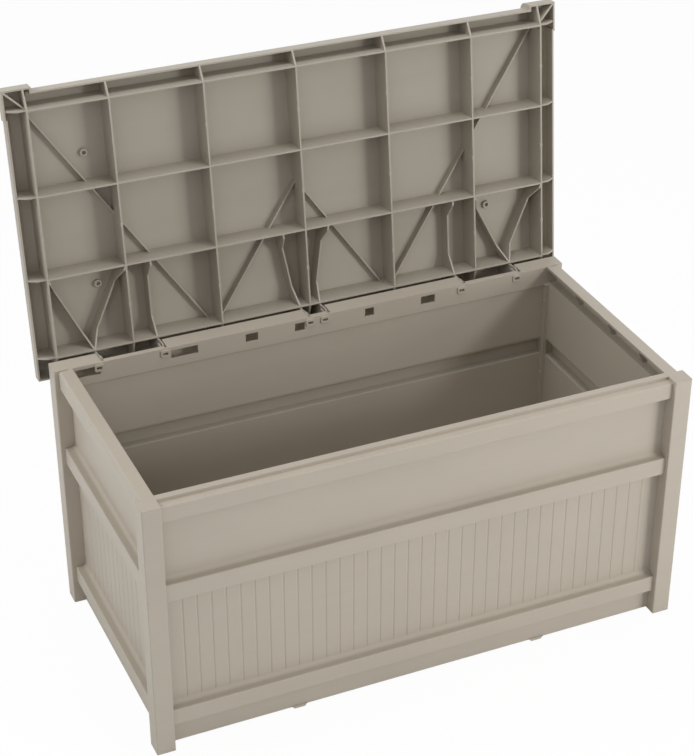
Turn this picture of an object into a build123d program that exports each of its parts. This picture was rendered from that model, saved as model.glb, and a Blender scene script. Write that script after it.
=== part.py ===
from build123d import *
from math import cos, radians, sin
import os

os.makedirs("parts", exist_ok=True)

# Overall size of the box, over its four corner posts
box_length = 1240.0
box_depth = 617.6
box_height = 617.8
post_size = 41.5

# Moulded walls
wall = 3.8
top_skin = 5.8
post_round = 2.5
rail_round = 2.5
rail_cove = 10.0
rim_round = 6.0
overrun = 20.0

# How far each band of a panel lies behind the outer face of the posts
skirt_recess = 26.8
rail_recess = 10.3
panel_recess = 33.0

# Heights of the bands above the ground
skirt_low = 3.0
bottom_rail_low = 59.0
bottom_rail_height = 40.0
middle_rail_low = 378.5
middle_rail_height = 42.5
rim_depth = 44.8

# Front lip: a low fascia in front and a raised inner strip
fascia_drop = 6.8
lip_reach = 46.8
lip_width = 16.0
lip_depth = 17.8

# Beadboard grooves
bead_pitch = 31.6
bead_width = 5.5
bead_depth = 1.4

# Gussets under the end rims, placed as shares of the box depth
gusset_thickness = 3.0
gusset_toe = 9.0
gusset_shares = (-0.233, -0.014, 0.227)

# Seam between the end rims and the back posts
seam_gap = 2.5
seam_inner = 10.5

# Floor panel, its runners and the foot nubs under the skirts
foot_spacing = 288.0
foot_width = 34.0
nub_width = 24.0
floor_skin = 4.0
floor_gap = 1.0
floor_rib_height = 20.0
floor_rib_spacing = 150.0

# Screwed corner flanges and the screws
flange_depth = 7.7
screw_radius = 2.0
screw_head_radius = 3.5
screw_head_height = 3.0
screw_fit = 0.05
screw_cover = 1.5
corner_screw_shares = (0.09, 0.5, 0.91)
floor_screw_shares = (-0.36, -0.12, 0.12, 0.36)
end_floor_screw_shares = (-0.25, 0.25)

# Hinge axis, in from the back face and down from the top of the ledge
pivot_inset = 13.0
pivot_drop = 24.0
pin_radius = 4.0
pin_fit = 0.05
pin_head_radius = 6.0
pin_head_height = 2.0
pin_tail = 1.5

# Hinge arms: a pair beside the middle, and two pairs placed as shares of the box length
centre_arm_x = 24.0
inner_arm_share = 0.2944
outer_arm_share = 0.4105
arm_thickness = 4.0
arm_reach = 23.0
arm_tip_angle = 50.0
eye_radius = 7.5
stop_rise = 5.0
stop_gap = 0.3

# Hinge ledge on the back panel
ledge_low_drop = 62.0
strip_width = 12.7
web_gap = 1.2
web_thickness = 4.0
notch_gap = 1.5
slot_clearance = 0.5

# Windows in the front wall of the ledge, from and to shares of the box length
window_height = 20.0
window_drop = 8.5
window_shares = (
    (-0.4645, -0.4165),
    (-0.2860, -0.2355),
    (-0.1445, -0.1210),
    (-0.0490, -0.0300),
    (0.0895, 0.1075),
    (0.2030, 0.2315),
)

# Clip bosses on the front wall of the ledge, each to the left of an arm by its offset
clip_width = 21.0
clip_height = 17.0
clip_proud = 3.0
clip_offsets = (10.0, 3.0, 0.0, 12.0, 10.0, 10.0)
clip_drop = 12.5
clip_slot_width = 12.0
clip_slot_height = 6.0

# Lid
lid_open_angle = 96.67
lid_seat_gap = 0.4
lid_wall = 3.8
lid_skin = 3.5
lid_round = 22.0
side_overhang = 17.2
front_overhang = 8.8
back_overhang = 14.9
skirt_rise = 18.0
ear_length = 60.2
ear_depth = 56.0
ear_front = 10.3
ear_side = 3.0
ear_rise = 1.0
ear_filling = 16.0

# Ribs under the lid
rib_depth = 59.9
rib_thickness = 4.0
side_rib_margin = 42.2
front_rib_margin = 33.4
back_rib_margin = 53.9
column_shares = (0.0, 0.3555, 0.706, 1.0)
row_shares = (0.0, 0.327, 0.662, 1.0)
brace_height = 15.0
neck_height = 30.0
flare_length = 12.0
flare_fall = 45.0
flare_climb = 40.0
channel_dip = 5.0
corner_dip = 12.0
nub_length = 8.0
nub_spread = 2.0
boss_radius = 9.0
boss_bore = 4.3
boss_height = 7.0

# Straight braces, each from and to a column share and a row share
straight_brace_shares = (
    ((-1.0, 0.985), (-0.385, 0.0)),
    ((1.0, 0.985), (0.385, 0.0)),
    ((0.0, 0.513), (-0.331, 0.0)),
    ((0.0, 0.513), (0.331, 0.0)),
)

# Ring bosses on the underside, as column and row shares
boss_shares = ((-0.793, 0.774), (-0.793, 0.236), (0.802, 0.241))

# Column shares of the second row of ribs where the braces to the hinge arms start
outer_brace_shares = (1.0, 0.706)
centre_brace_share = 0.0924

# Places worked out from the sizes above
half_length = box_length / 2
half_depth = box_depth / 2
post_inner_x = half_length - post_size
post_inner_y = half_depth - post_size
post_middle_x = half_length - post_size / 2
post_middle_y = half_depth - post_size / 2
bottom_rail_top = bottom_rail_low + bottom_rail_height
middle_rail_top = middle_rail_low + middle_rail_height
rim_low = box_height - rim_depth
under_skin = box_height - top_skin
flange_low = bottom_rail_top
flange_height = rim_low - flange_low
flange_middle_y = post_inner_y - flange_depth / 2
pivot_y = half_depth - pivot_inset
pivot_z = box_height - pivot_drop
near = wall / 4
groove_low = bottom_rail_top + rail_cove
groove_length = middle_rail_low - groove_low
band_levels = (skirt_low, bottom_rail_low, bottom_rail_top, middle_rail_low, middle_rail_top, rim_low)
band_recesses = (skirt_recess, rail_recess, panel_recess, rail_recess, panel_recess)
inner_arm_x = inner_arm_share * box_length
outer_arm_x = outer_arm_share * box_length
arm_places = (-outer_arm_x, -inner_arm_x, -centre_arm_x, centre_arm_x, inner_arm_x, outer_arm_x)
corner_screw_levels = [flange_low + share * flange_height for share in corner_screw_shares]
rim_face = half_length - rail_recess
fascia_face = half_depth - rail_recess
end_skin = half_length - panel_recess
front_skin = half_depth - panel_recess
skirt_inner_x = half_length - skirt_recess - wall
skirt_inner_y = half_depth - skirt_recess - wall
floor_low = bottom_rail_low + wall
floor_top = floor_low + floor_skin

# Screw places: along each corner flange as (y, z), and along each edge of the floor as (x, y)
floor_screw_x = (skirt_inner_x + rim_face - wall) / 2
floor_screw_y = (skirt_inner_y + fascia_face - wall) / 2
floor_screw_depth = floor_low - bottom_rail_low - screw_cover
front_corner_screws = [(-flange_middle_y, level) for level in corner_screw_levels]
back_corner_screws = [(flange_middle_y, level) for level in corner_screw_levels]
floor_front_places = [(share * box_length, -floor_screw_y) for share in floor_screw_shares]
floor_back_places = [(share * box_length, floor_screw_y) for share in floor_screw_shares]
floor_left_places = [(-floor_screw_x, share * box_depth) for share in end_floor_screw_shares]
floor_right_places = [(floor_screw_x, share * box_depth) for share in end_floor_screw_shares]


def skin_points(half_span, rim_recess):
    """Outer and inner points of a panel's skin from its foot to the rim, as (distance outwards, height)."""
    faces = [half_span - recess for recess in (*band_recesses, rim_recess)]
    outer = []
    inner = [(faces[0] - wall, band_levels[0])]
    for face, low, high in zip(faces, band_levels, band_levels[1:]):
        outer += [(face, low), (face, high)]
    outer.append((faces[-1], band_levels[-1]))
    for face, next_face, level in zip(faces, faces[1:], band_levels[1:]):
        inner_level = level + wall if next_face > face else level - wall
        inner += [(face - wall, inner_level), (next_face - wall, inner_level)]
    return outer, inner


def rail_corners(section, face, top):
    """Corners of a panel's section that lie on the outer faces of its rails, below the given height."""
    on_face = section.vertices().filter_by_position(Axis.X, face - near, face + near)
    return on_face.filter_by_position(Axis.Y, skirt_low, top)


def cove_corners(section, skin, rise):
    """Corners where a skin meets the tops of the rails, the rise above those tops."""
    levels = (bottom_rail_top + rise, middle_rail_top + rise)
    return [section.vertices().sort_by_distance((skin, level))[0] for level in levels]


def bead_count(half_span):
    """Number of grooves in a field of this half width, one of them in the middle."""
    return 2 * int((half_span - bead_pitch / 2) / bead_pitch) + 1


def pegs(plane, places, radius, length):
    """Round pegs of one size on a plane."""
    with BuildPart() as group:
        with BuildSketch(plane):
            with Locations(*places):
                Circle(radius)
        extrude(amount=length)
    return group.part


# Right end panel with its front post
end_outer, end_inner = skin_points(half_length, rail_recess)
pad_width = end_skin - wall / 2 - post_inner_x
pad_x = post_inner_x + pad_width / 2
hole_radius = screw_radius + screw_fit
pad_plane = Plane.YZ.offset(post_inner_x)
corner_screw_depth = end_skin - screw_cover - post_inner_x
pad_holes = pegs(pad_plane, front_corner_screws + back_corner_screws, hole_radius, corner_screw_depth)
shelf_plane = Plane.XY.offset(floor_low)
shelf_holes = pegs(shelf_plane, floor_right_places, hole_radius, -floor_screw_depth)
with BuildPart() as right_end_panel:
    with BuildSketch(Plane.XZ) as end_section:
        with BuildLine():
            Polyline(
                *end_outer,
                (rim_face, box_height),
                (post_inner_x, box_height),
                (post_inner_x, under_skin),
                (rim_face - wall, under_skin),
                *reversed(end_inner),
                close=True,
            )
        make_face()
        rim_corner = rail_corners(end_section, rim_face, box_height).sort_by(Axis.Y)[-1]
        fillet(rim_corner, radius=rim_round)
        fillet(rail_corners(end_section, rim_face, rim_low + near), radius=rail_round)
        fillet(cove_corners(end_section, end_skin, 0), radius=rail_cove)
        fillet(cove_corners(end_section, end_skin - wall, -wall), radius=rail_cove + wall)
    extrude(amount=post_inner_y, both=True)
    for share in gusset_shares:
        with BuildSketch(Plane.XZ.offset(-share * box_depth)):
            with BuildLine():
                Polyline(
                    (post_inner_x + wall / 2, box_height - top_skin / 2),
                    (rim_face - wall / 2, box_height - top_skin / 2),
                    (rim_face - wall / 2, rim_low + wall / 2),
                    (rim_face - wall - gusset_toe, rim_low + wall / 2),
                    close=True,
                )
            make_face()
        extrude(amount=gusset_thickness / 2, both=True)
    with BuildSketch(Plane.XY) as front_post:
        with Locations((post_middle_x, -post_middle_y)):
            Rectangle(post_size, post_size)
        fillet(front_post.vertices().sort_by(Axis.Y)[:2], radius=post_round)
    extrude(amount=box_height)
    with BuildSketch(Plane.XY.offset(flange_low)):
        with Locations((pad_x, flange_middle_y), (pad_x, -flange_middle_y)):
            Rectangle(pad_width, flange_depth)
    extrude(amount=flange_height)
    with BuildSketch(Plane.XY.offset(-overrun)):
        with Locations((post_middle_x, -post_middle_y)):
            Rectangle(post_size - 2 * wall, post_size - 2 * wall)
    extrude(amount=under_skin + overrun, mode=Mode.SUBTRACT)
    with BuildSketch(Plane.XY.offset(groove_low)):
        with Locations((end_skin, 0)):
            with GridLocations(bead_pitch, bead_pitch, 1, bead_count(post_inner_y)):
                Polygon((0, -bead_width / 2), (0, bead_width / 2), (-bead_depth, 0), align=None)
    extrude(amount=groove_length, mode=Mode.SUBTRACT)
    with BuildSketch(Plane.XY.offset(rim_low + seam_gap)):
        with Locations((post_inner_x + seam_inner, post_inner_y - seam_gap)):
            Rectangle(post_size, post_size, align=(Align.MIN, Align.MIN))
    extrude(amount=rim_depth, mode=Mode.SUBTRACT)
    add([pad_holes, shelf_holes], mode=Mode.SUBTRACT)
right_end_panel.part.label = "right_end_panel"

# Left end panel, the mirror of the right one
with BuildPart() as left_end_panel:
    mirror(right_end_panel.part, about=Plane.YZ)
left_end_panel.part.label = "left_end_panel"

# Front panel, drawn in a plane that looks along its length with the outside at positive distances
front_outer, front_inner = skin_points(half_depth, rail_recess)
front_plane = Plane(origin=(0, 0, 0), x_dir=(0, -1, 0), z_dir=(-1, 0, 0))
fascia_top = box_height - fascia_drop
lip_inner = half_depth - lip_reach
lip_outer = lip_inner + lip_width
flange_reach = front_skin - wall / 2 - post_inner_y + flange_depth
front_holes = [
    pegs(Plane.YZ.offset(-post_inner_x), front_corner_screws, hole_radius, wall),
    pegs(Plane.YZ.offset(post_inner_x), front_corner_screws, hole_radius, -wall),
    pegs(shelf_plane, floor_front_places, hole_radius, -floor_screw_depth),
]
with BuildPart() as front_panel:
    with BuildSketch(front_plane) as front_section:
        with BuildLine():
            Polyline(
                *front_outer,
                (fascia_face, fascia_top),
                (lip_outer, fascia_top),
                (lip_outer, box_height),
                (lip_inner, box_height),
                (lip_inner, box_height - lip_depth),
                (lip_inner + wall, box_height - lip_depth),
                (lip_inner + wall, box_height - wall),
                (lip_outer - wall, box_height - wall),
                (lip_outer - wall, fascia_top - wall),
                (fascia_face - wall, fascia_top - wall),
                *reversed(front_inner),
                close=True,
            )
        make_face()
        fillet(rail_corners(front_section, fascia_face, box_height), radius=rail_round)
        fillet(cove_corners(front_section, front_skin, 0), radius=rail_cove)
        fillet(cove_corners(front_section, front_skin - wall, -wall), radius=rail_cove + wall)
    extrude(amount=post_inner_x, both=True)
    with BuildSketch(Plane.XY.offset(flange_low)):
        for side in (-1, 1):
            with Locations((side * (post_inner_x - wall / 2), flange_reach / 2 - front_skin + wall / 2)):
                Rectangle(wall, flange_reach)
    extrude(amount=flange_height)
    with BuildSketch(Plane.XY.offset(groove_low)):
        with Locations((0, -front_skin)):
            with GridLocations(bead_pitch, bead_pitch, bead_count(post_inner_x), 1):
                Polygon((-bead_width / 2, 0), (bead_width / 2, 0), (0, bead_depth), align=None)
    extrude(amount=groove_length, mode=Mode.SUBTRACT)
    for side in (-1, 1):
        with BuildSketch(Plane.XZ.offset(half_depth - skirt_recess + wall)):
            with BuildLine():
                Polyline(
                    (side * foot_spacing - nub_width / 2, 0),
                    (side * foot_spacing + nub_width / 2, 0),
                    (side * foot_spacing + foot_width / 2, 2 * skirt_low),
                    (side * foot_spacing - foot_width / 2, 2 * skirt_low),
                    close=True,
                )
            make_face()
        extrude(amount=-2 * wall)
    add(front_holes, mode=Mode.SUBTRACT)
front_panel.part.label = "front_panel"

# Back panel with its two posts and the hinge ledge
back_outer, back_inner = skin_points(half_depth, post_size - wall)
ledge_low = box_height - ledge_low_drop
strip_back = post_inner_y + strip_width
sill_z = pivot_z + stop_rise - stop_gap
back_wall_y = half_depth - wall
web_reach = arm_thickness / 2 + web_gap + web_thickness
notch_reach = arm_thickness / 2 + notch_gap
side_notch = (inner_arm_x - notch_reach, outer_arm_x + notch_reach)
centre_notch = (-centre_arm_x - notch_reach, centre_arm_x + notch_reach)
notches = ((-side_notch[1], -side_notch[0]), centre_notch, side_notch)
ledge_front = Plane.XZ.offset(-post_inner_y)
back_holes = [
    pegs(Plane.YZ.offset(-post_inner_x), back_corner_screws, hole_radius, wall),
    pegs(Plane.YZ.offset(post_inner_x), back_corner_screws, hole_radius, -wall),
    pegs(shelf_plane, floor_back_places, hole_radius, -floor_screw_depth),
]
pin_run = web_reach + pin_head_height
for arm_x in arm_places:
    pin_plane = Plane.YZ.offset(arm_x - pin_run)
    back_holes.append(pegs(pin_plane, [(pivot_y, pivot_z)], pin_radius + pin_fit, 2 * pin_run))
with BuildPart() as back_panel:
    with BuildSketch(Plane.YZ) as back_section:
        with BuildLine():
            Polyline(
                *back_outer,
                (post_inner_y + wall, under_skin),
                (back_wall_y, under_skin),
                (back_wall_y, ledge_low),
                (half_depth, ledge_low),
                (half_depth, box_height),
                (post_inner_y, box_height),
                *reversed(back_inner),
                close=True,
            )
        make_face()
        fillet(rail_corners(back_section, fascia_face, rim_low), radius=rail_round)
        fillet(cove_corners(back_section, front_skin, 0), radius=rail_cove)
        fillet(cove_corners(back_section, front_skin - wall, -wall), radius=rail_cove + wall)
    extrude(amount=post_inner_x, both=True)
    with BuildSketch(Plane.XY):
        with Locations((post_middle_x, post_middle_y), (-post_middle_x, post_middle_y)):
            RectangleRounded(post_size, post_size, post_round)
    extrude(amount=box_height)
    with BuildSketch(Plane.XY):
        for side in (-1, 1):
            with Locations((side * (post_middle_x - post_size / 4), post_middle_y)):
                Rectangle(post_size / 2, post_size)
    extrude(amount=box_height)
    with BuildSketch(Plane.XY.offset(flange_low)):
        for side in (-1, 1):
            with Locations((side * (post_inner_x - wall / 2), front_skin - wall / 2 - flange_reach / 2)):
                Rectangle(wall, flange_reach)
    extrude(amount=flange_height)
    web_offset = web_reach - web_thickness / 2
    with BuildSketch(Plane.XY.offset(rim_low)):
        for arm_x in arm_places:
            with Locations((arm_x - web_offset, post_middle_y), (arm_x + web_offset, post_middle_y)):
                Rectangle(web_thickness, post_size - wall)
    extrude(amount=under_skin + near - rim_low)
    with BuildSketch(Plane.XY.offset(-overrun)):
        with Locations((post_middle_x, post_middle_y), (-post_middle_x, post_middle_y)):
            Rectangle(post_size - 2 * wall, post_size - 2 * wall)
    extrude(amount=under_skin + overrun, mode=Mode.SUBTRACT)
    for low_x, high_x in notches:
        with BuildSketch(Plane.XY.offset(under_skin)):
            with Locations((low_x, strip_back)):
                Rectangle(high_x - low_x, post_size, align=(Align.MIN, Align.MIN))
        extrude(amount=overrun, mode=Mode.SUBTRACT)
        with BuildSketch(Plane.XY.offset(sill_z)):
            with Locations((low_x, back_wall_y)):
                Rectangle(high_x - low_x, post_size, align=(Align.MIN, Align.MIN))
        extrude(amount=overrun + pivot_drop, mode=Mode.SUBTRACT)
    slot_low_y = pivot_y - arm_reach - slot_clearance
    with BuildSketch(Plane.XY.offset(under_skin)):
        for arm_x in arm_places:
            with Locations((arm_x, slot_low_y)):
                Rectangle(arm_thickness + 2 * web_gap, strip_width, align=(Align.CENTER, Align.MIN))
    extrude(amount=overrun, mode=Mode.SUBTRACT)
    with BuildSketch(ledge_front):
        for low_share, high_share in window_shares:
            window_width = (high_share - low_share) * box_length
            with Locations((low_share * box_length, box_height - window_drop)):
                Rectangle(window_width, window_height, align=(Align.MIN, Align.MAX))
    extrude(amount=-wall, mode=Mode.SUBTRACT)
    clip_level = box_height - clip_drop
    clip_places = [(arm_x - offset, clip_level) for arm_x, offset in zip(arm_places, clip_offsets)]
    with BuildSketch(ledge_front.offset(-wall / 2)):
        with Locations(*clip_places):
            RectangleRounded(clip_width, clip_height, clip_height / 4)
    extrude(amount=wall / 2 + clip_proud)
    with BuildSketch(ledge_front.offset(clip_proud)):
        with Locations(*clip_places):
            Rectangle(clip_slot_width, clip_slot_height)
    extrude(amount=-clip_proud - wall, mode=Mode.SUBTRACT)
    with BuildSketch(Plane.XY.offset(groove_low)):
        with Locations((0, front_skin)):
            with GridLocations(bead_pitch, bead_pitch, bead_count(post_inner_x), 1):
                Polygon((-bead_width / 2, 0), (0, -bead_depth), (bead_width / 2, 0), align=None)
    extrude(amount=groove_length, mode=Mode.SUBTRACT)
    for side in (-1, 1):
        with BuildSketch(Plane.XZ.offset(skirt_recess - half_depth + wall)):
            with BuildLine():
                Polyline(
                    (side * foot_spacing - nub_width / 2, 0),
                    (side * foot_spacing + nub_width / 2, 0),
                    (side * foot_spacing + foot_width / 2, 2 * skirt_low),
                    (side * foot_spacing - foot_width / 2, 2 * skirt_low),
                    close=True,
                )
            make_face()
        extrude(amount=-2 * wall)
    add(back_holes, mode=Mode.SUBTRACT)
back_panel.part.label = "back_panel"

# Floor panel: a plate let into the bottom rails, on three hollow runners
runner_places = ((-foot_spacing, 0), (0, 0), (foot_spacing, 0))
floor_screw_places = floor_front_places + floor_back_places + floor_left_places + floor_right_places
floor_holes = pegs(Plane.XY.offset(floor_top), floor_screw_places, hole_radius, -floor_skin)
with BuildPart() as floor_panel:
    with BuildSketch(Plane.XY.offset(floor_low)):
        Rectangle(2 * (post_inner_x - floor_gap), 2 * (fascia_face - wall - floor_gap))
        Rectangle(2 * (rim_face - wall - floor_gap), 2 * (post_inner_y - floor_gap))
    extrude(amount=floor_skin)
    with BuildSketch(Plane.XY.offset(floor_low)):
        with GridLocations(floor_rib_spacing, floor_rib_spacing, 1, 3):
            Rectangle(2 * (skirt_inner_x - floor_gap), floor_skin)
    extrude(amount=-floor_rib_height)
    with BuildSketch(Plane.XZ):
        with Locations(*runner_places):
            Rectangle(foot_width, floor_low, align=(Align.CENTER, Align.MIN))
    extrude(amount=skirt_inner_y - floor_gap, both=True)
    with BuildSketch(Plane.XZ):
        with Locations(*[(x, floor_skin) for x, _ in runner_places]):
            Rectangle(foot_width - 2 * floor_skin, floor_low - floor_skin, align=(Align.CENTER, Align.MIN))
    extrude(amount=skirt_inner_y, both=True, mode=Mode.SUBTRACT)
    add(floor_holes, mode=Mode.SUBTRACT)
floor_panel.part.label = "floor_panel"

# Lid, drawn open: x along the box, v from the hinge to the lid's front, levels outwards from the hinge
swing = radians(lid_open_angle)
forward = Vector(0, -cos(swing), sin(swing))
outward = Vector(0, sin(swing), cos(swing))
pivot = Vector(0, pivot_y, pivot_z)
lid_plane = Plane(origin=pivot, x_dir=(1, 0, 0), z_dir=-outward)
across_plane = Plane(origin=pivot, x_dir=(1, 0, 0), z_dir=forward)
along_plane = Plane(origin=pivot, x_dir=forward, z_dir=(-1, 0, 0))
rib_level = pivot_drop + lid_seat_gap
skirt_level = rib_level + skirt_rise
plate_level = rib_level + rib_depth
top_level = plate_level + lid_skin
root_level = plate_level + lid_skin / 2
brace_level = plate_level - brace_height
neck_level = plate_level - neck_height
lid_half_length = half_length + side_overhang
lid_front = pivot_y + half_depth + front_overhang
lid_back = -pivot_inset - back_overhang
ear_front_v = lid_front + ear_front
ear_outer_x = lid_half_length + ear_side
ear_inner_x = lid_half_length - ear_length
end_rib_x = lid_half_length - side_rib_margin
front_rib_v = lid_front - front_rib_margin
back_rib_v = lid_back + back_rib_margin


def lid_block(low, high, low_level, high_level, radius, across_ends=(0, 1), along_ends=(0, 1)):
    """Block from one (x, v) corner to another, with its top rounded at the low (0) and high (1) ends."""
    middle = (low_level + high_level) / 2
    height = high_level - low_level
    with BuildPart() as block:
        with BuildSketch(across_plane) as across:
            with Locations(((low[0] + high[0]) / 2, middle)):
                Rectangle(high[0] - low[0], height)
            top_corners = across.vertices().sort_by(Axis.Y)[-2:].sort_by(Axis.X)
            fillet([top_corners[end] for end in across_ends], radius=radius)
        extrude(amount=2 * box_depth, both=True)
        with BuildSketch(along_plane) as along:
            with Locations(((low[1] + high[1]) / 2, middle)):
                Rectangle(high[1] - low[1], height)
            top_corners = along.vertices().sort_by(Axis.Y)[-2:].sort_by(Axis.X)
            fillet([top_corners[end] for end in along_ends], radius=radius)
        extrude(amount=box_length, both=True, mode=Mode.INTERSECT)
    return block.part


def lid_place(column_share, row_share):
    """Point under the lid, as (x, v), from shares of the grid of ribs."""
    return column_share * end_rib_x, back_rib_v + row_share * (front_rib_v - back_rib_v)


def rib(start, end, free_edge):
    """Upright rib between two (x, v) points, with its free edge as (distance, level) points."""
    origin = lid_plane.from_local_coords((*start, 0))
    along = lid_plane.from_local_coords((*end, 0)) - origin
    length = along.length
    with BuildPart() as upright:
        with BuildSketch(Plane(origin=origin, x_dir=along, z_dir=along.cross(outward))):
            with BuildLine():
                Polyline((0, root_level), *free_edge(length), (length, root_level), close=True)
            make_face()
        extrude(amount=rib_thickness / 2, both=True)
    return upright.part


def level_edge(length):
    """Free edge of a row of the grid: level all along."""
    return (0, rib_level), (length, rib_level)


def low_edge(length):
    """Free edge of a straight brace, which lies lower than the grid."""
    return (0, brace_level), (length, brace_level)


def swooping_edge(length):
    """Free edge of a brace that narrows from the grid to a neck and flares again to a hinge arm."""
    head = (0, rib_level), (flare_length, rib_level), (flare_fall, neck_level)
    return *head, (length - flare_climb, neck_level), (length, rib_level)


def channel_edge(length):
    """Free edge of a row's end, which falls away to the skirt of the lid."""
    dip = rib_level + channel_dip
    return (0, rib_level), (channel_dip, dip), (length / 2, dip), (length, skirt_level)


def column_edge(length):
    """Free edge of a column: level over the grid, falling away to the skirt at both ends."""
    back_run = back_rib_v - lid_back - lid_wall / 2
    front_run = back_run + front_rib_v - back_rib_v
    return (0, skirt_level), (back_run, rib_level), (front_run, rib_level), (length, skirt_level)


def corner_edge(length):
    """Free edge of a corner rib, from below the grid down to the rim of an ear."""
    return (0, rib_level + corner_dip), (length, skirt_level)


def ear_blocks(inset, low_level, high_level, radius):
    """Blocks of the two front ears, all their walls moved inwards by the inset."""
    low_v = ear_low_v + inset
    high_v = ear_front_v - inset
    near_x = ear_inner_x + inset
    far_x = ear_outer_x - inset
    return [
        lid_block((-far_x, low_v), (-near_x, high_v), low_level, high_level, radius, [0], [1]),
        lid_block((near_x, low_v), (far_x, high_v), low_level, high_level, radius, [1], [1]),
    ]


ear_low_v = lid_front - ear_depth
ear_top = top_level + ear_rise
lid_low_corner = (-lid_half_length, lid_back)
lid_high_corner = (lid_half_length, lid_front)
with BuildPart() as lid_outer:
    add(lid_block(lid_low_corner, lid_high_corner, -arm_reach, top_level, lid_round))
    add(ear_blocks(0, -arm_reach, ear_top, lid_round))

inner_low = -arm_reach - overrun
inner_round = lid_round - lid_wall
inner_low_corner = (-lid_half_length + lid_wall, lid_back + lid_wall)
inner_high_corner = (lid_half_length - lid_wall, lid_front - lid_wall)
with BuildPart() as lid_inner:
    add(lid_block(inner_low_corner, inner_high_corner, inner_low, plate_level, inner_round))
    add(ear_blocks(lid_wall, inner_low, plate_level, inner_round))

columns = sorted({side * share for side in (-1, 1) for share in column_shares})
second_row = row_shares[1]
ribs = []
for column in columns:
    x = column * end_rib_x
    front_v = (ear_front_v if abs(column) == 1 else lid_front) - lid_wall / 2
    ribs.append(rib((x, lid_back + lid_wall / 2), (x, front_v), column_edge))
for row in row_shares:
    ribs.append(rib(lid_place(-1, row), lid_place(1, row), level_edge))
    for side in (-1, 1):
        x, v = lid_place(side, row)
        ribs.append(rib((x, v), (side * (lid_half_length - lid_wall / 2), v), channel_edge))
for side in (-1, 1):
    ear_corner = (side * (ear_outer_x - lid_wall), ear_front_v - lid_wall)
    ribs.append(rib(lid_place(side, 1), ear_corner, corner_edge))
    outer_foot = (side * outer_arm_x, back_rib_v)
    for share in outer_brace_shares:
        ribs.append(rib(lid_place(side * share, second_row), outer_foot, swooping_edge))
    inner_start = (side * inner_arm_x, lid_place(0, second_row)[1])
    ribs.append(rib(inner_start, (side * inner_arm_x, back_rib_v), swooping_edge))
    centre_start = lid_place(side * centre_brace_share, second_row)
    ribs.append(rib(centre_start, (side * centre_arm_x, back_rib_v), swooping_edge))
for start_shares, end_shares in straight_brace_shares:
    ribs.append(rib(lid_place(*start_shares), lid_place(*end_shares), low_edge))

tip_angle = radians(arm_tip_angle)
arm_tip = (arm_reach * cos(tip_angle), -arm_reach * sin(tip_angle))
stop_edge = [((stop_rise - level * cos(swing)) / sin(swing), level) for level in (eye_radius, rib_level)]
with BuildPart() as lid_ribs:
    add(ribs)
    with BuildSketch(lid_plane.offset(-rib_level - nub_length)):
        for column in columns:
            for low_share, high_share in zip(row_shares, row_shares[1:]):
                with Locations(lid_place(column, (low_share + high_share) / 2)):
                    Rectangle(rib_thickness + nub_spread, nub_length)
    extrude(amount=nub_length)
    with BuildSketch(lid_plane.offset(-root_level)):
        with Locations(*[lid_place(*shares) for shares in boss_shares]):
            Circle(boss_radius)
            Circle(boss_bore, mode=Mode.SUBTRACT)
    extrude(amount=root_level - plate_level + boss_height)
    with BuildSketch(lid_plane.offset(-root_level)):
        for side in (-1, 1):
            with Locations((side * (end_rib_x + ear_outer_x) / 2, (front_rib_v + ear_front_v) / 2)):
                Rectangle(ear_outer_x - end_rib_x, ear_front_v - front_rib_v)
    extrude(amount=root_level - plate_level + ear_filling)
    for arm_x in arm_places:
        with BuildSketch(along_plane.offset(-arm_x)):
            with BuildLine():
                CenterArc((0, 0), arm_reach, 0, -arm_tip_angle)
                Polyline(
                    arm_tip,
                    (0, -eye_radius),
                    (0, eye_radius),
                    *stop_edge,
                    (lid_back + lid_wall / 2, skirt_level),
                    (lid_back + lid_wall / 2, root_level),
                    (arm_reach, root_level),
                    (arm_reach, 0),
                )
            make_face()
            Circle(eye_radius)
            Circle(pin_radius + pin_fit, mode=Mode.SUBTRACT)
        extrude(amount=arm_thickness / 2, both=True)
    add(lid_outer.part, mode=Mode.INTERSECT)

with BuildPart() as lid:
    add(lid_outer.part)
    add(lid_inner.part, mode=Mode.SUBTRACT)
    with BuildSketch(lid_plane.offset(-skirt_level)):
        with Locations((0, lid_front / 2)):
            Rectangle(2 * box_length, 2 * box_length)
    extrude(amount=skirt_level + arm_reach + overrun, mode=Mode.SUBTRACT)
    add(lid_ribs.part)
lid.part.label = "lid"

# Hinge pins, each a headed pin through one arm and the two webs beside it
pins = []
for number, arm_x in enumerate(arm_places, start=1):
    with BuildPart() as hinge_pin:
        with BuildSketch(Plane.YZ.offset(arm_x - web_reach - pin_tail)):
            with Locations((pivot_y, pivot_z)):
                Circle(pin_radius)
        extrude(amount=2 * web_reach + pin_tail)
        tail = hinge_pin.edges().filter_by(GeomType.CIRCLE).sort_by(Axis.X)[0]
        chamfer(tail, length=pin_tail / 2)
        with BuildSketch(Plane.YZ.offset(arm_x + web_reach)):
            with Locations((pivot_y, pivot_z)):
                Circle(pin_head_radius)
        extrude(amount=pin_head_height)
    hinge_pin.part.label = f"hinge_pin_{number}"
    pins.append(hinge_pin.part)


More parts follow.
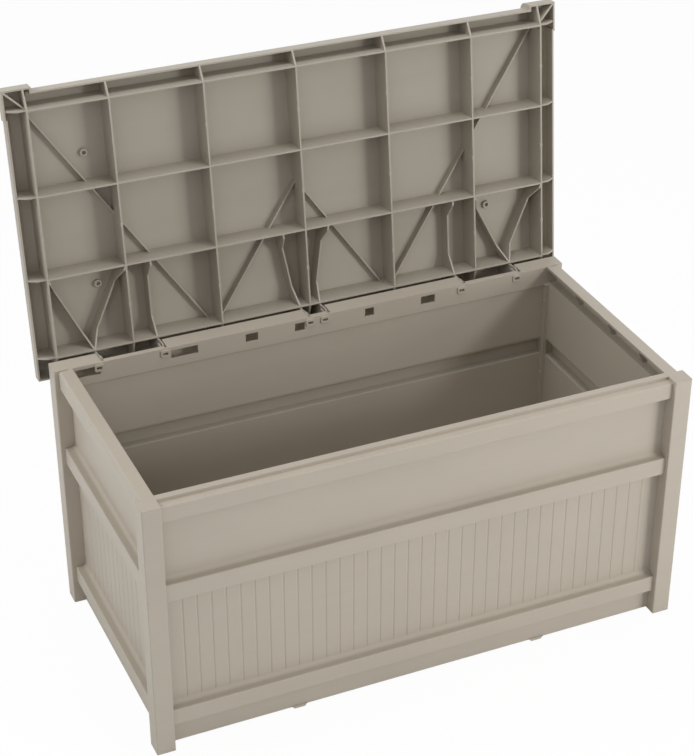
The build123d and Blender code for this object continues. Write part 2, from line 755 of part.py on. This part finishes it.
def screw_row(label, seat, places, reach):
    """Row of pan-head screws with their heads on a seat plane and their shanks down below it."""
    with BuildPart() as row:
        with BuildSketch(seat):
            with Locations(*places):
                Circle(screw_head_radius)
        extrude(amount=screw_head_height)
        rims = row.edges().filter_by(GeomType.CIRCLE).filter_by(
            lambda edge: seat.to_local_coords(edge.center()).Z > screw_head_height / 2
        )
        fillet(rims, radius=screw_head_height / 2)
        with BuildSketch(seat.offset(screw_head_height)):
            with Locations(*places):
                Rectangle(screw_head_radius, screw_head_height / 3)
                Rectangle(screw_head_height / 3, screw_head_radius)
        extrude(amount=-screw_head_height / 2, mode=Mode.SUBTRACT)
        with BuildSketch(seat):
            with Locations(*places):
                Circle(screw_radius)
        extrude(amount=-reach)
    row.part.label = label
    return row.part


# Seats of the corner screws; the right one runs towards the front, so its rows swap their places
left_seat = Plane(origin=(wall - post_inner_x, 0, 0), x_dir=(0, 1, 0), z_dir=(1, 0, 0))
right_seat = Plane(origin=(post_inner_x - wall, 0, 0), x_dir=(0, -1, 0), z_dir=(-1, 0, 0))
floor_seat = Plane.XY.offset(floor_top)
corner_reach = wall + corner_screw_depth
floor_reach = floor_skin + floor_screw_depth
screw_rows = [
    screw_row("front_left_corner_screws", left_seat, front_corner_screws, corner_reach),
    screw_row("front_right_corner_screws", right_seat, back_corner_screws, corner_reach),
    screw_row("back_left_corner_screws", left_seat, back_corner_screws, corner_reach),
    screw_row("back_right_corner_screws", right_seat, front_corner_screws, corner_reach),
    screw_row("floor_front_screws", floor_seat, floor_front_places, floor_reach),
    screw_row("floor_back_screws", floor_seat, floor_back_places, floor_reach),
    screw_row("floor_left_screws", floor_seat, floor_left_places, floor_reach),
    screw_row("floor_right_screws", floor_seat, floor_right_places, floor_reach),
]

panels = [floor_panel, front_panel, back_panel, left_end_panel, right_end_panel, lid]
for piece in [panel.part for panel in panels] + pins + screw_rows:
    export_step(piece, f"parts/{piece.label}.step")
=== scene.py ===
"""Dock box with its lid open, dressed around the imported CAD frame."""
import math

import bpy
from mathutils import Matrix, Vector

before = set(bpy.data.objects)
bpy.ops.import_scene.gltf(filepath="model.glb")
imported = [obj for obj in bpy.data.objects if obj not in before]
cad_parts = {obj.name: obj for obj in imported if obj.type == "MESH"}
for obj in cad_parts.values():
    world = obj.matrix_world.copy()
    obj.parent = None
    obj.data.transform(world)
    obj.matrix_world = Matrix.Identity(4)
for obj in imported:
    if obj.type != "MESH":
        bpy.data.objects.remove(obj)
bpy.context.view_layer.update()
scene = bpy.context.scene

# Camera: eye, heading and lens worked out from the box in the picture
EYE = (-1.5473, -3.4125, 2.8533)
YAW, PITCH, ROLL = 0.4258, -0.5763, 0.0058
LENS_SHARE = 2.6857
SHIFT = (-0.0285, 0.0941)
SENSOR_WIDTH = 36

# Moulded resin: noise scales in turns per metre, and how strongly each shows
CLOUD_SCALE, CLOUD_DETAIL = 5.0, 4.0
FLOW_SCALE, FLOW_DETAIL = 6.0, 3.0
FLOW_STRETCH = (1.0, 1.0, 9.0)
FLOW_SHADE, FLOW_SHEEN = 0.6, 0.25
COARSE_SCALE, COARSE_DETAIL, COARSE_SHARE = 260.0, 3.0, 0.6
SPECK_DETAIL = 2.0
EDGE_ROUND, EDGE_SAMPLES = 0.0014, 6
GRAIN_DEPTH = 0.0004
RESIN_IOR = 1.46

# Zinc on the screws
BLOTCH_SCALE, BLOTCH_DETAIL = 700.0, 3.0
ZINC_DARK = (0.50, 0.50, 0.48, 1)
ZINC_LIGHT = (0.66, 0.65, 0.62, 1)
ZINC_GLOSSY, ZINC_DULL = 0.28, 0.5

# Studio
FLOOR_SIZE, FLOOR_DROP = 60, 0.0006
FLOOR_COLOUR = (0.86, 0.86, 0.86, 1)
FLOOR_ROUGHNESS = 0.9
FLOOR_GLOW = 0.96
SKY_LIGHT = 0.44

# Soft square lamps, kept out of reflections: name, place, aim, size and power
LAMPS = (
    ("key_lamp", (2.3, -3.4, 2.2), (0.1, 0, 0.6), 0.7, 49),
    ("left_lamp", (-2.7, 0.8, 2.2), (-0.6, 0, 0.4), 1.2, 33),
    ("top_lamp", (0.2, 0.1, 3.6), (0.1, 0.1, 0.6), 1.0, 26),
    ("right_lamp", (2.4, -2.4, 1.0), (0.4, -0.3, 0.4), 0.8, 21),
    ("camera_side_lamp", (-2.2, -2.6, 3.4), (0, 0, 0.5), 1.6, 12),
)


def place_camera():
    """Puts the camera at the picture's viewpoint."""
    reach = math.cos(PITCH)
    forward = Vector((math.sin(YAW) * reach, math.cos(YAW) * reach, math.sin(PITCH)))
    level = Vector((math.cos(YAW), -math.sin(YAW), 0))
    upright = level.cross(forward)
    right = math.cos(ROLL) * level + math.sin(ROLL) * upright
    up = -math.sin(ROLL) * level + math.cos(ROLL) * upright
    bpy.ops.object.camera_add(location=EYE)
    camera = bpy.context.object
    camera.name = "photo_camera"
    turn = Matrix((right, up, -forward)).transposed().to_4x4()
    camera.matrix_world = Matrix.Translation(EYE) @ turn
    camera.data.sensor_fit = "AUTO"
    camera.data.sensor_width = SENSOR_WIDTH
    camera.data.lens = SENSOR_WIDTH * LENS_SHARE
    camera.data.shift_x, camera.data.shift_y = SHIFT
    scene.camera = camera


place_camera()


# Node helpers
def new_group(name, inputs, outputs):
    """Shader node group, its sockets given as (name, kind, default)."""
    group = bpy.data.node_groups.new(name, "ShaderNodeTree")
    for in_out, sockets in (("INPUT", inputs), ("OUTPUT", outputs)):
        for title, kind, default in sockets:
            kind = f"NodeSocket{kind}"
            socket = group.interface.new_socket(title, in_out=in_out, socket_type=kind)
            if default is not None:
                socket.default_value = default
    given = group.nodes.new("NodeGroupInput").outputs
    out = group.nodes.new("NodeGroupOutput").inputs
    return group, given, out


def add_node(tree, kind, links=None, **settings):
    """New node, with properties and input values set and its inputs linked."""
    node = tree.nodes.new(f"ShaderNode{kind}")
    for key, value in settings.items():
        setattr(node, key, value)
    for key, value in (links or {}).items():
        if isinstance(value, bpy.types.NodeSocket):
            tree.links.new(value, node.inputs[key])
        else:
            node.inputs[key].default_value = value
    return node


def maths(tree, operation, first, second):
    """Result of a Math node."""
    return add_node(tree, "Math", {0: first, 1: second}, operation=operation).outputs[0]


def noise(tree, where, scale, detail):
    """Noise between 0 and 1."""
    links = {"Vector": where, "Scale": scale, "Detail": detail}
    return add_node(tree, "TexNoise", links).outputs["Fac"]


def mix_colour(tree, share, first, second, blend="MIX"):
    """Blend of two colours."""
    links = {"Factor": share, 6: first, 7: second}
    return add_node(tree, "Mix", links, data_type="RGBA", blend_type=blend).outputs[2]


def moulded_finish():
    """Look of moulded resin: cloudy colour, a fine grain and a slightly uneven sheen."""
    group, given, out = new_group(
        "moulded_finish",
        [
            ("Colour", "Color", (0.5, 0.5, 0.5, 1)),
            ("Cloudiness", "Float", 0.05),
            ("Grain Scale", "Float", 1400.0),
            ("Sheen", "Float", 0.5),
        ],
        [("Colour", "Color", None), ("Roughness", "Float", None), ("Height", "Float", None)],
    )
    where = add_node(group, "TexCoord").outputs["Object"]
    clouds = noise(group, where, CLOUD_SCALE, CLOUD_DETAIL)
    specks = noise(group, where, given["Grain Scale"], SPECK_DETAIL)
    stretched = add_node(group, "Mapping", {"Vector": where, "Scale": FLOW_STRETCH})
    flow = noise(group, stretched.outputs["Vector"], FLOW_SCALE, FLOW_DETAIL)
    light = maths(group, "SUBTRACT", clouds, 0.5)
    flow_swing = maths(group, "SUBTRACT", flow, 0.5)
    drift = maths(group, "MULTIPLY", flow_swing, FLOW_SHADE)
    shade = maths(group, "MULTIPLY", maths(group, "ADD", light, drift), given["Cloudiness"])
    level = maths(group, "ADD", shade, 1.0)
    tint = add_node(group, "CombineColor", {"Red": level, "Green": level, "Blue": level}).outputs[0]
    colour = mix_colour(group, 1.0, given["Colour"], tint, "MULTIPLY")
    group.links.new(colour, out["Colour"])
    uneven = maths(group, "MULTIPLY", flow_swing, FLOW_SHEEN)
    group.links.new(maths(group, "ADD", given["Sheen"], uneven), out["Roughness"])
    lumps = noise(group, where, COARSE_SCALE, COARSE_DETAIL)
    coarse = maths(group, "MULTIPLY", lumps, COARSE_SHARE)
    group.links.new(maths(group, "ADD", specks, coarse), out["Height"])
    return group


MOULDED = moulded_finish()


def resin_material(name, colour, sheen, cloudiness, grain, bump):
    """Moulded resin in one colour."""
    material = bpy.data.materials.new(name)
    material.use_nodes = True
    tree = material.node_tree
    shader = tree.nodes["Principled BSDF"]
    finish = add_node(tree, "Group", node_tree=MOULDED)
    finish.inputs["Colour"].default_value = (*colour, 1)
    finish.inputs["Cloudiness"].default_value = cloudiness
    finish.inputs["Grain Scale"].default_value = grain
    finish.inputs["Sheen"].default_value = sheen
    rounded = add_node(tree, "Bevel", {"Radius": EDGE_ROUND}, samples=EDGE_SAMPLES)
    links = {"Strength": bump, "Distance": GRAIN_DEPTH}
    links |= {"Height": finish.outputs["Height"], "Normal": rounded.outputs[0]}
    relief = add_node(tree, "Bump", links)
    tree.links.new(finish.outputs["Colour"], shader.inputs["Base Color"])
    tree.links.new(finish.outputs["Roughness"], shader.inputs["Roughness"])
    tree.links.new(relief.outputs[0], shader.inputs["Normal"])
    shader.inputs["IOR"].default_value = RESIN_IOR
    return material


def screw_material():
    """Zinc-plated steel with faint blotches."""
    material = bpy.data.materials.new("zinc_steel")
    material.use_nodes = True
    tree = material.node_tree
    shader = tree.nodes["Principled BSDF"]
    where = add_node(tree, "TexCoord").outputs["Object"]
    blotch = noise(tree, where, BLOTCH_SCALE, BLOTCH_DETAIL)
    links = {"Value": blotch, "To Min": ZINC_GLOSSY, "To Max": ZINC_DULL}
    sheen = add_node(tree, "MapRange", links).outputs[0]
    colour = mix_colour(tree, blotch, ZINC_DARK, ZINC_LIGHT)
    tree.links.new(colour, shader.inputs["Base Color"])
    tree.links.new(sheen, shader.inputs["Roughness"])
    shader.inputs["Metallic"].default_value = 1.0
    return material


def dress(names, material):
    """Gives CAD nodes a material on every slot."""
    for name in names:
        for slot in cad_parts[name].material_slots:
            slot.material = material


resin = resin_material("taupe_resin", (0.455, 0.407, 0.338), 0.40, 0.10, 1300.0, 0.16)
# The lid's resin is a darker copy of the box's resin: its lower colour is painted shade on the lid
shaded_lid_resin = resin_material("taupe_resin_lid_painted_shade", (0.414, 0.374, 0.315), 0.46, 0.12, 1300.0, 0.18)
pin_resin = resin_material("pin_resin", (0.40, 0.36, 0.30), 0.40, 0.06, 2200.0, 0.10)
steel = screw_material()
names = list(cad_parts)
dress([name for name in names if name.endswith("panel")], resin)
dress(["lid"], shaded_lid_resin)
dress([name for name in names if name.startswith("hinge_pin")], pin_resin)
dress([name for name in names if name.endswith("screws")], steel)


# Studio: pale floor, white surround and soft lamps
def studio():
    """Floor, world and lamps."""
    bpy.ops.mesh.primitive_plane_add(size=FLOOR_SIZE, location=(0, 0, -FLOOR_DROP))
    floor = bpy.context.object
    floor.name = "studio_floor"
    material = bpy.data.materials.new("studio_floor_white")
    material.use_nodes = True
    tree = material.node_tree
    shader = tree.nodes["Principled BSDF"]
    shader.inputs["Base Color"].default_value = FLOOR_COLOUR
    shader.inputs["Roughness"].default_value = FLOOR_ROUGHNESS
    glow = add_node(tree, "Emission", {"Color": (1, 1, 1, 1), "Strength": 1.0})
    in_view = add_node(tree, "LightPath").outputs["Is Camera Ray"]
    seen = maths(tree, "MULTIPLY", in_view, FLOOR_GLOW)
    blend = add_node(tree, "MixShader", {0: seen, 1: shader.outputs[0], 2: glow.outputs[0]})
    tree.links.new(blend.outputs[0], tree.nodes["Material Output"].inputs["Surface"])
    floor.data.materials.append(material)
    world = bpy.data.worlds.new("studio_world")
    world.use_nodes = True
    scene.world = world
    tree = world.node_tree
    background = tree.nodes["Background"]
    background.inputs["Color"].default_value = (1, 1, 1, 1)
    paths = add_node(tree, "LightPath").outputs
    mirrored = maths(tree, "MAXIMUM", paths["Is Glossy Ray"], paths["Is Transmission Ray"])
    shown = maths(tree, "MAXIMUM", paths["Is Camera Ray"], mirrored)
    links = {"Value": shown, "To Min": SKY_LIGHT, "To Max": 1.0}
    strength = add_node(tree, "MapRange", links).outputs[0]
    tree.links.new(strength, background.inputs["Strength"])
    for name, place, aim, size, power in LAMPS:
        bpy.ops.object.light_add(type="AREA", location=place)
        lamp = bpy.context.object
        lamp.name = name
        lamp.data.size = size
        lamp.data.energy = power
        lamp.visible_glossy = False
        sight = Vector(aim) - Vector(place)
        lamp.rotation_euler = sight.to_track_quat("-Z", "Y").to_euler()


studio()
scene.view_settings.view_transform = "Standard"
